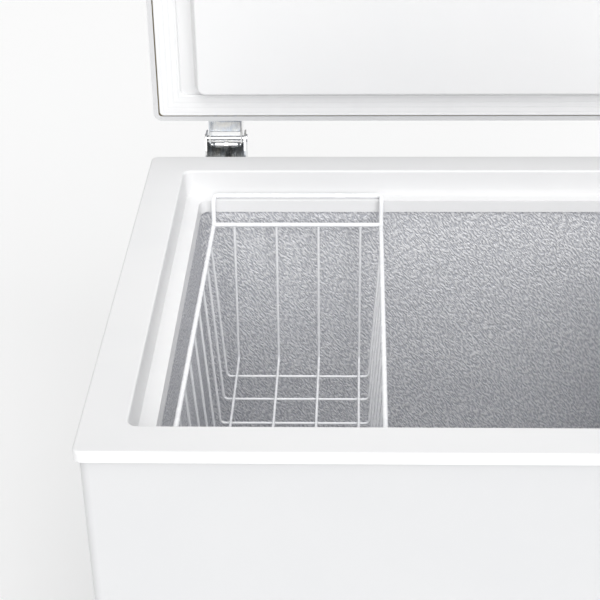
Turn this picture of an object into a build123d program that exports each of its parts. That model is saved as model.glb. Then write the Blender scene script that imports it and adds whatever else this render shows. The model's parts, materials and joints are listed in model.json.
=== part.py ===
from build123d import *

import os

# Chest freezer with its lid standing open. Millimetres, +Z up, front towards -Y.
# Pieces are drawn about the middle of the cabinet on the floor, and saved with the
# origin under the middle of the whole open freezer.

os.makedirs("parts", exist_ok=True)

# ---- driving dimensions ------------------------------------------------------

width = 630.0
depth = 560.0
collar_top = 800.0
corner_radius = 8.0
half_width = width / 2
half_depth = depth / 2

sheet = 0.8
overhang = 4.0
foot_height = 50.0

# collar: flat rim, steep slope down to a ledge, then a wall down to the tank
fascia_height = 10.2
collar_wall = 2.5
rim_side = 39.5
rim_front = 36.7
rim_rear = 39.0
slope_run = 2.6
ledge_drop = 28.0
ledge_width = 15.0
lip_run = 1.5
lip_wall = 1.5
collar_drop = 40.5
mouth_corner = 9.0

ledge_top = collar_top - ledge_drop
fascia_bottom = collar_top - fascia_height
lip_bottom = collar_top - collar_drop
mouth_width = width - 2 * rim_side
mouth_depth = depth - rim_front - rim_rear
mouth_y = (rim_front - rim_rear) / 2
ledge_inset = slope_run + ledge_width
lip_inset = ledge_inset + lip_run
tank_inset = ledge_inset - lip_wall - 0.1

# cabinet skins and tank
skin_x = half_width - overhang
skin_y = half_depth - overhang
base_top = 52.0
foam_top = fascia_bottom - 0.2
tank_x = mouth_width / 2 - tank_inset
tank_front = mouth_y - mouth_depth / 2 + tank_inset
tank_rear = mouth_y + mouth_depth / 2 - tank_inset
tank_floor_z = 105.0
tank_top = ledge_top - collar_wall - 0.2
step_x = 105.0
step_z = 330.0
foam_wall = 50.0
bay_x = step_x + foam_wall
bay_top = step_z - foam_wall

# lid, drawn standing open: its face is a vertical plane towards -Y
hinge_y = 300.0
hinge_z = collar_top + 13.5
gasket_face = hinge_y - 13.0
lid_x = half_width - 3.5
lid_low = hinge_z + 25.0
lid_length = 553.0
lid_high = lid_low + lid_length
lid_back = gasket_face + 50.0
lid_corner = 9.0
hem_face = gasket_face + 3.0
hem_width = 5.5
gasket_inset = 7.0
gasket_width = 24.5
flange_face = gasket_face + 5.0
plug_face = gasket_face - 20.0
plug_foot_side = 47.0
plug_foot_rear = 33.5
plug_slope = 6.0
liner_wall = 1.6
gap_depth = 6.0

# hinges
hinge_x = 232.5
bracket_half = 22.5
plate = 1.8
pin_radius = 3.0
arm_half = 18.5
bar_radius = 2.4
bar_end_radius = 2.0
bar_arm = 8.0
arm_web = 309.0
arm_screw_rows = (299, 318)
rod_radius = 2.0
rod_bottom = 706.0
spring_low = 713.0
spring_high = 777.0

# basket
basket_x = -152.0
bar_y_rear = 231.0
bar_y_front = -234.0
frame_wire = 2.5
thin_wire = 1.4
bar_half = 91.6
rim_half = 91.5
rim_z = collar_top - 50.0
rim_setback = 21.0
basket_floor_z = collar_top - 222.0
basket_floor_half = 80.0
wire_pitch = 46.0
basket_skew = 4.2
rail_taper = 3.0

# compressor bay; the lugs of the mount stand at these half-spacings
compressor_x = 234.0
compressor_y = 150.0
lug_x = 52.0
lug_y = 82.0

# side grille, control panel, drain and feet
grille_y = 60.0
grille_z = 150.0
grille_length = 170.0
grille_height = 110.0
panel_z = 150.0
panel_width = 104.0
panel_height = 54.0
knob_x = compressor_x - 26
light_places = [(compressor_x + 22, panel_z), (compressor_x + 42, panel_z)]
drain_x = -150.0
drain_y = -180.0
drain_exit_z = 78.0
foot_x = 262.0
foot_y = 226.0
foot_hole_pitch = 48.0
screw_hole = 2.1
screw_shank = 2.0

# the knob is the front-most point and the lid's back the rear-most one
knob_depth = 14.4
origin_shift = (skin_y + knob_depth - lid_back) / 2


# ---- helpers -----------------------------------------------------------------

def save(solid, label):
    """Name a finished piece and write it as its own STEP file, in the saved frame."""
    placed = solid.moved(Location((0, origin_shift, 0)))
    placed.label = label
    export_step(placed, f"parts/{label}.step")


def finish(builder, label):
    """Save what a builder made."""
    save(builder.part, label)


def mouth_outline(inset, grow=0.0):
    """Rounded outline of the collar's mouth, moved inwards by inset."""
    step = inset - grow
    with Locations((0, mouth_y)):
        RectangleRounded(mouth_width - 2 * step, mouth_depth - 2 * step, mouth_corner)


def lid_outline(inset, corner, low_inset=None, mode=Mode.ADD):
    """Rounded outline on the lid's face; the hinge side may have its own inset."""
    low = inset if low_inset is None else low_inset
    height = lid_length - inset - low
    with Locations((0, lid_low + low + height / 2)):
        RectangleRounded(2 * (lid_x - inset), height, corner, mode=mode)


def lid_plane(y):
    """Plane of the open lid at the given depth; its normal points to the rear."""
    return Plane(origin=(0, y, 0), x_dir=(-1, 0, 0), z_dir=(0, 1, 0))


def wire(points, radius, bend, close=False):
    """Round wire or tube along straight runs with bent corners."""
    with BuildPart() as rod:
        with BuildLine() as route:
            FilletPolyline(*points, radius=bend, close=close)
        path = route.wire()
        with BuildSketch(Plane(origin=path @ 0, z_dir=path % 0)):
            Circle(radius)
        sweep(path=path)
    return rod.part


# ---- cabinet -----------------------------------------------------------------

# Painted steel wrapper: front and both sides folded from one sheet.
with BuildPart() as cabinet_wrapper:
    with BuildSketch(Plane.XY.offset(base_top)):
        RectangleRounded(2 * skin_x, 2 * skin_y, corner_radius)
        RectangleRounded(2 * (skin_x - sheet), 2 * (skin_y - sheet), corner_radius - sheet,
                         mode=Mode.SUBTRACT)
        with Locations((0, skin_y)):
            Rectangle(2 * (skin_x - 12), 4 * sheet, mode=Mode.SUBTRACT)
    extrude(amount=fascia_bottom - 0.2 - base_top)
    # opening for the control panel, low on the right of the front
    with Locations((compressor_x, -skin_y, panel_z)):
        Box(panel_width, 10, panel_height, mode=Mode.SUBTRACT)
    # opening for the drain spout
    with Locations((drain_x, -skin_y, drain_exit_z)):
        Cylinder(10.4, 10, rotation=(90, 0, 0), mode=Mode.SUBTRACT)
    # opening for the side grille
    with Locations((skin_x, grille_y, grille_z)):
        Box(10, grille_length, grille_height, mode=Mode.SUBTRACT)
finish(cabinet_wrapper, "cabinet_wrapper")

# Galvanised rear panel with the corner of the compressor bay left out.
bay_door_low = 62.0
bay_door_high = bay_top - 4
door_middle = (compressor_x - 6, (bay_door_low + bay_door_high) / 2)
door_width = 134.0
cover_screw_grid = (door_width - 9, 190, 2, 2)
bracket_screw_places = [(side * hinge_x + x, z)
                        for side in (-1, 1) for x in (-30, 30) for z in (712, 768)]
with BuildPart() as rear_panel:
    with BuildSketch(Plane.XZ.offset(-skin_y)):
        with Locations((0, (base_top + foam_top) / 2)):
            Rectangle(2 * (skin_x - 12.2), foam_top - base_top)
        with Locations(door_middle):
            Rectangle(door_width - 16, bay_door_high - bay_door_low, mode=Mode.SUBTRACT)
            with GridLocations(*cover_screw_grid):
                Circle(screw_shank, mode=Mode.SUBTRACT)
        with Locations(*bracket_screw_places):
            Circle(screw_hole, mode=Mode.SUBTRACT)
    extrude(amount=sheet)
finish(rear_panel, "rear_panel")

# Steel base pan with two stiffening channels pressed into it.
channel_x = 90.0
channel_width = 50.0
channel_length = 2 * skin_y - 80
channel_depth = 12.0
with BuildPart() as base_pan:
    with BuildSketch(Plane.XY.offset(foot_height)):
        RectangleRounded(2 * (skin_x - sheet - 0.1), 2 * (skin_y - sheet - 0.1), corner_radius - sheet)
    extrude(amount=base_top - foot_height)
    with BuildSketch(Plane.XY.offset(foot_height)):
        with GridLocations(2 * channel_x, 0, 2, 1):
            Rectangle(channel_width, channel_length)
    extrude(amount=-channel_depth)
    with BuildSketch(Plane.XY.offset(foot_height + 0.01)):
        with GridLocations(2 * channel_x, 0, 2, 1):
            Rectangle(channel_width - 4, channel_length + 4)
    extrude(amount=1.5 - channel_depth, mode=Mode.SUBTRACT)
    # air openings under the compressor
    with Locations((0, 0, foot_height)):
        with Locations(*[(compressor_x, y, 0) for y in range(-180, 20, 28)]):
            Box(70, 8, 10, mode=Mode.SUBTRACT)
    with BuildSketch(Plane.XY.offset(foot_height)):
        with GridLocations(2 * foot_x, 2 * foot_y, 2, 2):
            with GridLocations(foot_hole_pitch, foot_hole_pitch, 2, 2):
                Circle(screw_hole)
    extrude(amount=base_top - foot_height, mode=Mode.SUBTRACT)
finish(base_pan, "base_pan")

# Bay liner: folded sheet between the foam and the compressor bay.
with BuildPart() as bay_liner:
    bay_end = skin_x - sheet - 0.1
    with BuildSketch(Plane.XZ.offset(-(skin_y - corner_radius))):
        with BuildLine():
            Polyline(
                (bay_x, base_top), (bay_x, bay_top), (bay_end, bay_top), (bay_end, bay_top - sheet),
                (bay_x + sheet, bay_top - sheet), (bay_x + sheet, base_top), (bay_x, base_top))
        make_face()
    extrude(amount=2 * (skin_y - corner_radius))
    with Locations((300, 250, bay_top), (300, 262, bay_top), (252, 245, bay_top), (272, 245, bay_top)):
        Cylinder(5, 6, mode=Mode.SUBTRACT)
finish(bay_liner, "bay_liner")

# Embossed aluminium tank walls: one folded strip with the step for the compressor.
with BuildPart() as tank_walls:
    with BuildSketch(Plane.XY.offset(tank_floor_z)):
        mouth_outline(tank_inset, grow=sheet)
        mouth_outline(tank_inset)
    extrude(amount=tank_top - tank_floor_z)
    with BuildSketch(Plane.XY.offset(tank_floor_z)):
        mouth_outline(tank_inset)
    extrude(amount=tank_top - tank_floor_z, mode=Mode.SUBTRACT)
    with Locations((step_x + 200 + sheet, 0, (tank_floor_z + step_z) / 2 - sheet)):
        Box(400, depth, step_z - tank_floor_z, mode=Mode.SUBTRACT)
finish(tank_walls, "tank_walls")

# Tank floor: low floor, riser and step top, folded from one embossed sheet.
with BuildPart() as tank_floor:
    end_x = tank_x
    floor_span = tank_rear - tank_front
    with BuildSketch(Plane.XZ.offset(-tank_rear)):
        with BuildLine():
            Polyline(
                (-end_x, tank_floor_z), (step_x, tank_floor_z), (step_x, step_z), (end_x, step_z),
                (end_x, step_z - sheet), (step_x + sheet, step_z - sheet),
                (step_x + sheet, tank_floor_z - sheet), (-end_x, tank_floor_z - sheet),
                (-end_x, tank_floor_z))
        make_face()
    extrude(amount=floor_span)
    with BuildSketch(Plane.XY.offset(tank_floor_z - 5)):
        mouth_outline(tank_inset + 0.05)
    extrude(amount=step_z - tank_floor_z + 10, mode=Mode.INTERSECT)
    with Locations((drain_x, drain_y, tank_floor_z)):
        Cylinder(8.6, 6, mode=Mode.SUBTRACT)
finish(tank_floor, "tank_floor")

# Evaporator: aluminium tube wound round the tank, with its inlet led up the back.
coil_gap = 4.4
coil_x = tank_x + sheet + coil_gap
coil_front = tank_front - sheet - coil_gap
coil_rear = tank_rear + sheet + coil_gap
coil_turns = 7
coil_pitch = 54.0
coil_high = 735.0
coil_points = [(252, 245, bay_top - 14), (252, 245, coil_high), (252, coil_rear, coil_high)]
for turn in range(coil_turns):
    z = coil_high - turn * coil_pitch
    coil_points.append((-coil_x, coil_rear, z))
    coil_points.append((-coil_x, coil_front, z - coil_pitch / 3))
    coil_points.append((coil_x, coil_front, z - 2 * coil_pitch / 3))
    if turn < coil_turns - 1:
        coil_points.append((coil_x, coil_rear, z - coil_pitch))
coil_points[-1] = (coil_x, coil_front, step_z + 12)
coil_points.append((coil_x, 245, step_z + 12))
coil_points.append((272, 245, step_z + 12))
coil_points.append((272, 245, bay_top - 14))
evaporator = wire(coil_points, 4.0, 6.0)
save(evaporator, "evaporator_tube")

# Condenser: steel tube held against the inside of the wrapper's sides and front.
pass_x = skin_x - sheet - 3.0
pass_front = -(skin_y - sheet - 3.0)
pass_heights = [345 + 68 * i for i in range(6)]
condenser_points = [(pass_x - 7, 250, bay_top - 14), (pass_x - 7, 250, pass_heights[0] - 25),
                    (pass_x, 250, pass_heights[0] - 10), (pass_x, 250, pass_heights[0])]
for i, z in enumerate(pass_heights):
    side = 1 if i % 2 == 0 else -1
    if i > 0:
        condenser_points.append((side * pass_x, 250, z))
    condenser_points.append((side * pass_x, pass_front, z))
    condenser_points.append((-side * pass_x, pass_front, z))
    condenser_points.append((-side * pass_x, 250, z))
condenser_points[-1] = (pass_x, 262, pass_heights[-1])
condenser_points.append((pass_x, 262, pass_heights[0] - 30))
condenser_points.append((pass_x - 7, 262, pass_heights[0] - 45))
condenser_points.append((pass_x - 7, 262, bay_top - 14))
condenser = wire(condenser_points, 2.4, 5.0)
save(condenser, "condenser_tube")

# Drain tube: from the tank's floor down and out through the front.
drain_points = [(drain_x, drain_y, tank_floor_z - sheet), (drain_x, drain_y, drain_exit_z),
                (drain_x, -skin_y - 3, drain_exit_z)]
drain_solid = wire(drain_points, 10.0, 16.0)
drain_hollow = wire(drain_points, 8.2, 16.0)
with BuildPart() as drain_tube:
    add(drain_solid)
    add(drain_hollow, mode=Mode.SUBTRACT)
finish(drain_tube, "drain_tube")

# Insulation: foam between tank and cabinet, with channels for the tubes.
with BuildPart() as insulation_foam:
    with BuildSketch(Plane.XY.offset(base_top)):
        RectangleRounded(2 * (skin_x - sheet), 2 * (skin_y - sheet), corner_radius - sheet)
    extrude(amount=foam_top - base_top)
    with BuildSketch(Plane.XY.offset(tank_floor_z - sheet)):
        mouth_outline(tank_inset, grow=sheet)
    extrude(amount=foam_top, mode=Mode.SUBTRACT)
    with Locations(((step_x + sheet + 400) / 2 + 50, 0, (bay_top + step_z - sheet) / 2)):
        Box(500 - step_x - sheet, 2 * (skin_y - sheet), step_z - sheet - bay_top)
    with BuildSketch(Plane.XY.offset(base_top)):
        with Locations(((bay_x + step_x + sheet) / 2, 0)):
            Rectangle(bay_x - step_x - sheet, 2 * (skin_y - sheet))
    extrude(amount=step_z - sheet - base_top)
    # trim to the cabinet again, clear the compressor bay and the collar's funnel
    with BuildSketch(Plane.XY.offset(base_top)):
        RectangleRounded(2 * (skin_x - sheet), 2 * (skin_y - sheet), corner_radius - sheet)
    extrude(amount=foam_top - base_top, mode=Mode.INTERSECT)
    with BuildSketch(Plane.XY.offset(base_top)):
        with Locations(((bay_x + 400) / 2, 0)):
            Rectangle(400 - bay_x, depth)
    extrude(amount=bay_top - base_top, mode=Mode.SUBTRACT)
    with BuildSketch(Plane.XY.offset(ledge_top - collar_wall - 0.2)):
        mouth_outline(-collar_wall - 0.2)
    extrude(amount=200, mode=Mode.SUBTRACT)
    add(wire(coil_points, 4.1, 6.0), mode=Mode.SUBTRACT)
    add(wire(condenser_points, 2.5, 5.0), mode=Mode.SUBTRACT)
    add(wire(drain_points, 10.1, 16.0), mode=Mode.SUBTRACT)
    with BuildSketch(Plane.XZ.offset(-skin_y)):
        with Locations(*bracket_screw_places):
            Circle(screw_hole)
    extrude(amount=14, mode=Mode.SUBTRACT)
finish(insulation_foam, "insulation_foam")

# Collar: white moulded frame that caps the cabinet and carries the basket.
with BuildPart() as top_collar:
    with BuildSketch(Plane.XY.offset(fascia_bottom)):
        RectangleRounded(width, depth, corner_radius)
    extrude(amount=fascia_height)
    fillet(top_collar.faces().sort_by(Axis.Z)[-1].edges(), 2.2)
    # hollow underside
    with BuildSketch(Plane.XY.offset(fascia_bottom)):
        RectangleRounded(width - 2 * collar_wall, depth - 2 * collar_wall, corner_radius - collar_wall)
    extrude(amount=fascia_height - collar_wall, mode=Mode.SUBTRACT)
    # funnel: slope, ledge and lip
    with BuildSketch(Plane.XY.offset(ledge_top - collar_wall)):
        mouth_outline(-collar_wall)
    extrude(amount=ledge_drop)
    with BuildSketch(Plane.XY.offset(ledge_top)):
        mouth_outline(ledge_inset - lip_wall)
    with BuildSketch(Plane.XY.offset(lip_bottom)):
        mouth_outline(lip_inset - lip_wall)
    loft()
    with BuildSketch(Plane.XY.offset(collar_top)):
        mouth_outline(0)
    with BuildSketch(Plane.XY.offset(ledge_top)):
        mouth_outline(slope_run)
    loft(mode=Mode.SUBTRACT)
    with BuildSketch(Plane.XY.offset(ledge_top)):
        mouth_outline(ledge_inset)
    with BuildSketch(Plane.XY.offset(lip_bottom)):
        mouth_outline(lip_inset)
    loft(mode=Mode.SUBTRACT)
    mouth_edges = top_collar.edges().filter_by_position(Axis.Z, collar_top - 0.01, collar_top + 0.01)
    fillet(mouth_edges.filter_by(lambda e: abs(e.center().X) < mouth_width / 2 + 1
                                 and abs(e.center().Y) < mouth_depth / 2 + 2), 2.2)
finish(top_collar, "top_collar")

# ---- compressor bay ----------------------------------------------------------

# Hermetic compressor: domed steel shell with a seam band, on a plate with four lugs.
shell_low = 74.0
shell_high = 214.0
shell_length = 168.0
shell_breadth = 118.0
with BuildPart() as compressor_shell:
    with BuildSketch(Plane.XY.offset(shell_low)):
        with Locations((compressor_x, compressor_y)):
            Ellipse(shell_breadth / 2, shell_length / 2)
    extrude(amount=shell_high - shell_low)
    fillet(compressor_shell.faces().sort_by(Axis.Z)[-1].edges(), 34)
    fillet(compressor_shell.faces().sort_by(Axis.Z)[0].edges(), 10)
    with BuildSketch(Plane.XY.offset(138)):
        with Locations((compressor_x, compressor_y)):
            Ellipse(shell_breadth / 2 + 3, shell_length / 2 + 3)
    extrude(amount=5)
finish(compressor_shell, "compressor_shell")

# Mounting plate with a lug at each corner.
with BuildPart() as compressor_mount:
    with BuildSketch(Plane.XY.offset(shell_low - 3)):
        with Locations((compressor_x, compressor_y)):
            RectangleRounded(2 * lug_x + 26, 2 * lug_y + 26, 13)
            with GridLocations(2 * lug_x, 2 * lug_y, 2, 2):
                Circle(7, mode=Mode.SUBTRACT)
            with Locations((lug_x + 13, 0), (-lug_x - 13, 0)):
                Rectangle(16, 90, mode=Mode.SUBTRACT)
    extrude(amount=3)
finish(compressor_mount, "compressor_mount")

# Rubber grommets between the base pan and the compressor's lugs.
with BuildPart() as compressor_grommets:
    with BuildSketch(Plane.XY.offset(base_top)):
        with Locations((compressor_x, compressor_y)):
            with GridLocations(2 * lug_x, 2 * lug_y, 2, 2):
                Circle(11)
                Circle(3.6, mode=Mode.SUBTRACT)
    extrude(amount=shell_low - 3 - base_top)
    with BuildSketch(Plane.XY.offset(shell_low - 3)):
        with Locations((compressor_x, compressor_y)):
            with GridLocations(2 * lug_x, 2 * lug_y, 2, 2):
                Circle(6.9)
                Circle(3.6, mode=Mode.SUBTRACT)
    extrude(amount=5)
finish(compressor_grommets, "compressor_grommets")

# Studs welded to the base pan, with their washers and nuts.
with BuildPart() as compressor_bolts:
    with BuildSketch(Plane.XY.offset(base_top)):
        with Locations((compressor_x, compressor_y)):
            with GridLocations(2 * lug_x, 2 * lug_y, 2, 2):
                Circle(3.2)
    extrude(amount=shell_low + 2 - base_top)
    with BuildSketch(Plane.XY.offset(shell_low + 2)):
        with Locations((compressor_x, compressor_y)):
            with GridLocations(2 * lug_x, 2 * lug_y, 2, 2):
                Circle(10)
    extrude(amount=1.5)
    with BuildSketch(Plane.XY.offset(shell_low + 3.5)):
        with Locations((compressor_x, compressor_y)):
            with GridLocations(2 * lug_x, 2 * lug_y, 2, 2):
                RegularPolygon(6, 6)
    extrude(amount=5)
finish(compressor_bolts, "compressor_bolts")

# Relay and overload cover on the compressor's left side.
with BuildPart() as relay_cover:
    with BuildSketch(Plane.YZ.offset(compressor_x - shell_breadth / 2 - 15)):
        with Locations((compressor_y, 120)):
            RectangleRounded(56, 50, 6)
    extrude(amount=11.6)
    fillet(relay_cover.faces().sort_by(Axis.X)[0].edges(), 3)
    offset(amount=-1.6, openings=relay_cover.faces().sort_by(Axis.X)[-1])
finish(relay_cover, "relay_cover")

# Pipes from the compressor to the evaporator and the condenser.
pipe_z = 128.0
suction_points = [(compressor_x + 20, compressor_y + 83, pipe_z), (compressor_x + 20, 252, pipe_z),
                  (272, 252, pipe_z), (272, 252, 200), (272, 245, 215), (272, 245, bay_top - 15)]
save(wire(suction_points, 3.6, 5.0), "suction_pipe")

discharge_points = [(compressor_x + 44, compressor_y + 60, pipe_z - 24),
                    (compressor_x + 44, 236, pipe_z - 24),
                    (pass_x - 7, 236, pipe_z - 24), (pass_x - 7, 236, 225), (pass_x - 7, 250, 240),
                    (pass_x - 7, 250, bay_top - 15)]
save(wire(discharge_points, 2.4, 5.0), "discharge_pipe")

# Filter drier: copper cylinder with necked ends, hanging below the condenser's outlet.
drier_low = 200.0
with BuildPart() as filter_drier:
    with BuildSketch(Plane(origin=(pass_x - 7, 262, 0), x_dir=(1, 0, 0), z_dir=(0, -1, 0))):
        with BuildLine():
            Polyline((0, drier_low), (2.2, drier_low), (2.2, drier_low + 5), (5.5, drier_low + 13),
                     (5.5, drier_low + 50), (2.6, drier_low + 58), (2.6, bay_top - 15),
                     (0, bay_top - 15), (0, drier_low))
        make_face()
    revolve(axis=Axis((pass_x - 7, 262, 0), (0, 0, 1)))
finish(filter_drier, "filter_drier")

# Capillary tube: leaves the drier, takes two turns and rises to the evaporator's inlet.
with BuildPart() as capillary_tube:
    with BuildLine() as capillary_route:
        FilletPolyline((pass_x - 7, 262, drier_low - 0.5), (pass_x - 7, 262, 186), (262, 262, 186),
                       (262, 262, 236), (252, 262, 236), (252, 245, 245), (252, 245, bay_top - 15), radius=4)
    with BuildSketch(Plane(origin=capillary_route.wire() @ 0, z_dir=capillary_route.wire() % 0)):
        Circle(1.0)
    sweep(path=capillary_route.wire())
finish(capillary_tube, "capillary_tube")

# Perforated rear cover of the bay and its screws.
cover_back = skin_y + 1.1
gland_place = (door_middle[0] - 34, 76)
gland_radius = 7.4
with BuildPart() as machine_cover:
    with BuildSketch(Plane.XZ.offset(-skin_y - 0.1)):
        with Locations(door_middle):
            RectangleRounded(door_width, bay_door_high - bay_door_low + 14, 4)
            with GridLocations(24, 16, 5, 10):
                SlotOverall(18, 6, mode=Mode.SUBTRACT)
            with GridLocations(*cover_screw_grid):
                Circle(screw_hole, mode=Mode.SUBTRACT)
        with Locations(gland_place):
            Circle(gland_radius + 0.1, mode=Mode.SUBTRACT)
    extrude(amount=skin_y + 0.1 - cover_back)
finish(machine_cover, "machine_cover")

with BuildPart() as cover_screws:
    with BuildSketch(Plane.XZ.offset(-cover_back)):
        with Locations(door_middle):
            with GridLocations(*cover_screw_grid):
                Circle(4)
    extrude(amount=-2.2)
    fillet(cover_screws.faces().sort_by(Axis.Y)[-4:].edges(), 1.2)
    with BuildSketch(Plane.XZ.offset(-cover_back)):
        with Locations(door_middle):
            with GridLocations(*cover_screw_grid):
                Circle(screw_shank - 0.1)
    extrude(amount=8)
    with BuildSketch(Plane.XZ.offset(-cover_back - 2.2)):
        with Locations(door_middle):
            with GridLocations(*cover_screw_grid):
                Rectangle(4.4, 0.9)
                Rectangle(0.9, 4.4)
    extrude(amount=1, mode=Mode.SUBTRACT)
finish(cover_screws, "cover_screws")

# Bushing where the mains lead enters, in the bay's cover.
with BuildPart() as cord_gland:
    with BuildSketch(Plane.XZ.offset(-cover_back)):
        with Locations(gland_place):
            Circle(gland_radius + 3)
    extrude(amount=-2.5)
    with BuildSketch(Plane.XZ.offset(-cover_back)):
        with Locations(gland_place):
            Circle(gland_radius)
    extrude(amount=-7)
    fillet(cord_gland.faces().sort_by(Axis.Y)[-1].edges(), 1.5)
    with BuildSketch(Plane.XZ.offset(-cover_back)):
        with Locations(gland_place):
            Circle(gland_radius)
    extrude(amount=6)
    with BuildSketch(Plane.XZ.offset(-cover_back - 10)):
        with Locations(gland_place):
            Circle(3.6)
    extrude(amount=20, mode=Mode.SUBTRACT)
finish(cord_gland, "cord_gland")

# Louvred plastic grille in the right side of the cabinet.
with BuildPart() as side_grille:
    with BuildSketch(Plane.YZ.offset(skin_x)):
        with Locations((grille_y, grille_z)):
            RectangleRounded(grille_length + 14, grille_height + 14, 6)
    extrude(amount=2.5)
    fillet(side_grille.faces().sort_by(Axis.X)[-1].edges(), 1.2)
    with BuildSketch(Plane.YZ.offset(skin_x)):
        with Locations((grille_y, grille_z)):
            Rectangle(grille_length - 1, grille_height - 1)
    extrude(amount=-6)
    with BuildSketch(Plane.YZ.offset(skin_x + 5)):
        with Locations((grille_y, grille_z)):
            with GridLocations(80, 13, 2, 8):
                SlotOverall(72, 7)
    extrude(amount=-20, mode=Mode.SUBTRACT)
finish(side_grille, "side_grille")

# ---- control panel -----------------------------------------------------------

bezel_face = 2.5
with BuildPart() as control_bezel:
    with BuildSketch(Plane.XZ.offset(skin_y)):
        with Locations((compressor_x, panel_z)):
            RectangleRounded(panel_width + 14, panel_height + 12, 8)
    extrude(amount=bezel_face)
    fillet(control_bezel.faces().sort_by(Axis.Y)[0].edges(), 1.5)
    with BuildSketch(Plane.XZ.offset(skin_y)):
        with Locations((compressor_x, panel_z)):
            Rectangle(panel_width - 1, panel_height - 1)
    extrude(amount=-9)
    with BuildSketch(Plane.XZ.offset(skin_y + 3)):
        with Locations((knob_x, panel_z)):
            Circle(21)
    extrude(amount=-5, mode=Mode.SUBTRACT)
    with BuildSketch(Plane.XZ.offset(skin_y + 3)):
        with Locations((knob_x, panel_z)):
            Circle(3.6)
        with Locations(*light_places):
            Circle(4.1)
    extrude(amount=-20, mode=Mode.SUBTRACT)
    # marks round the knob
    with BuildSketch(Plane.XZ.offset(skin_y + bezel_face)):
        with Locations((knob_x, panel_z)):
            with PolarLocations(24.5, 7, start_angle=-30, angular_range=240, endpoint=True):
                Circle(0.9)
    extrude(amount=-0.4, mode=Mode.SUBTRACT)
finish(control_bezel, "control_bezel")

# Two round lenses beside the knob.
with BuildPart() as indicator_lights:
    with BuildSketch(Plane.XZ.offset(skin_y - 9)):
        with Locations(*light_places):
            Circle(4.0)
    extrude(amount=12.2)
    fillet(indicator_lights.faces().sort_by(Axis.Y)[:2].edges(), 1.2)
finish(indicator_lights, "indicator_lights")

# Thermostat behind the panel, with three contact blades.
with BuildPart() as thermostat_body:
    with BuildSketch(Plane.XZ.offset(skin_y - 9.1)):
        with Locations((knob_x, panel_z)):
            RectangleRounded(36, 30, 3)
    extrude(amount=-24)
    with BuildSketch(Plane.XZ.offset(skin_y - 33.1)):
        with Locations((knob_x, panel_z)):
            with GridLocations(14, 0, 3, 1):
                Rectangle(1, 6.3)
    extrude(amount=-9)
finish(thermostat_body, "thermostat_body")

# Knob with its D-shaped spindle; it turns about an axis along Y.
with BuildPart() as thermostat_knob:
    with BuildSketch(Plane.XZ.offset(skin_y - 1.6)):
        with Locations((knob_x, panel_z)):
            Circle(19.5)
    extrude(amount=6)
    with BuildSketch(Plane.XZ.offset(skin_y + 4.4)):
        with Locations((knob_x, panel_z)):
            Circle(15)
    extrude(amount=knob_depth - 4.4, taper=4)
    fillet(thermostat_knob.faces().sort_by(Axis.Y)[0].edges(), 1.4)
    with BuildSketch(Plane.XZ.offset(skin_y + 15)):
        with Locations((knob_x, panel_z)):
            with PolarLocations(16.2, 18):
                Circle(1.9)
    extrude(amount=-9.8, mode=Mode.SUBTRACT)
    with BuildSketch(Plane.XZ.offset(skin_y + 14.4)):
        with Locations((knob_x, panel_z + 8)):
            Rectangle(1.6, 9)
    extrude(amount=-0.6, mode=Mode.SUBTRACT)
    with BuildSketch(Plane.XZ.offset(skin_y - 1.6)):
        with Locations((knob_x, panel_z)):
            Circle(3.1)
    extrude(amount=-7.0)
finish(thermostat_knob, "thermostat_knob")

# ---- drain -------------------------------------------------------------------

# Rubber plug in the tank's floor, lifted by its grip.
with BuildPart() as drain_plug:
    with BuildSketch(Plane.XY.offset(tank_floor_z + 0.3)):
        with Locations((drain_x, drain_y)):
            Circle(14)
    extrude(amount=2.6)
    fillet(drain_plug.edges().sort_by(Axis.Z)[-1], 1.2)
    with BuildSketch(Plane.XY.offset(tank_floor_z + 0.3)):
        with Locations((drain_x, drain_y)):
            Circle(7.9)
    extrude(amount=-9, taper=3)
    with BuildSketch(Plane.XY.offset(tank_floor_z + 2.9)):
        with Locations((drain_x, drain_y)):
            RectangleRounded(16, 3.4, 1.6)
    extrude(amount=8)
finish(drain_plug, "drain_plug")

# Screwed cap on the drain's outlet at the front.
with BuildPart() as drain_cap:
    with BuildSketch(Plane.XZ.offset(skin_y + 3.3)):
        with Locations((drain_x, drain_exit_z)):
            Circle(14)
    extrude(amount=8)
    fillet(drain_cap.faces().sort_by(Axis.Y)[0].edges(), 1.5)
    with BuildSketch(Plane.XZ.offset(skin_y + 12)):
        with Locations((drain_x, drain_exit_z)):
            with PolarLocations(14.6, 12):
                Circle(1.5)
    extrude(amount=-7, mode=Mode.SUBTRACT)
    with BuildSketch(Plane.XZ.offset(skin_y + 3.3)):
        with Locations((drain_x, drain_exit_z)):
            Circle(7.9)
    extrude(amount=-10, taper=2)
finish(drain_cap, "drain_cap")

# ---- feet --------------------------------------------------------------------

foot_plate = 8.0
with BuildPart() as feet:
    with BuildSketch(Plane.XY.offset(foot_height)):
        with GridLocations(2 * foot_x, 2 * foot_y, 2, 2):
            RectangleRounded(64, 64, 10)
    extrude(amount=-foot_plate)
    with BuildSketch(Plane.XY.offset(foot_height - foot_plate)):
        with GridLocations(2 * foot_x, 2 * foot_y, 2, 2):
            Circle(25)
    extrude(amount=foot_plate - foot_height, taper=8)
    fillet(feet.faces().sort_by(Axis.Z)[:4].edges(), 2)
    with BuildSketch(Plane.XY.offset(foot_height)):
        with GridLocations(2 * foot_x, 2 * foot_y, 2, 2):
            with GridLocations(foot_hole_pitch, foot_hole_pitch, 2, 2):
                Circle(screw_hole)
    extrude(amount=-foot_plate, mode=Mode.SUBTRACT)
finish(feet, "feet")

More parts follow.
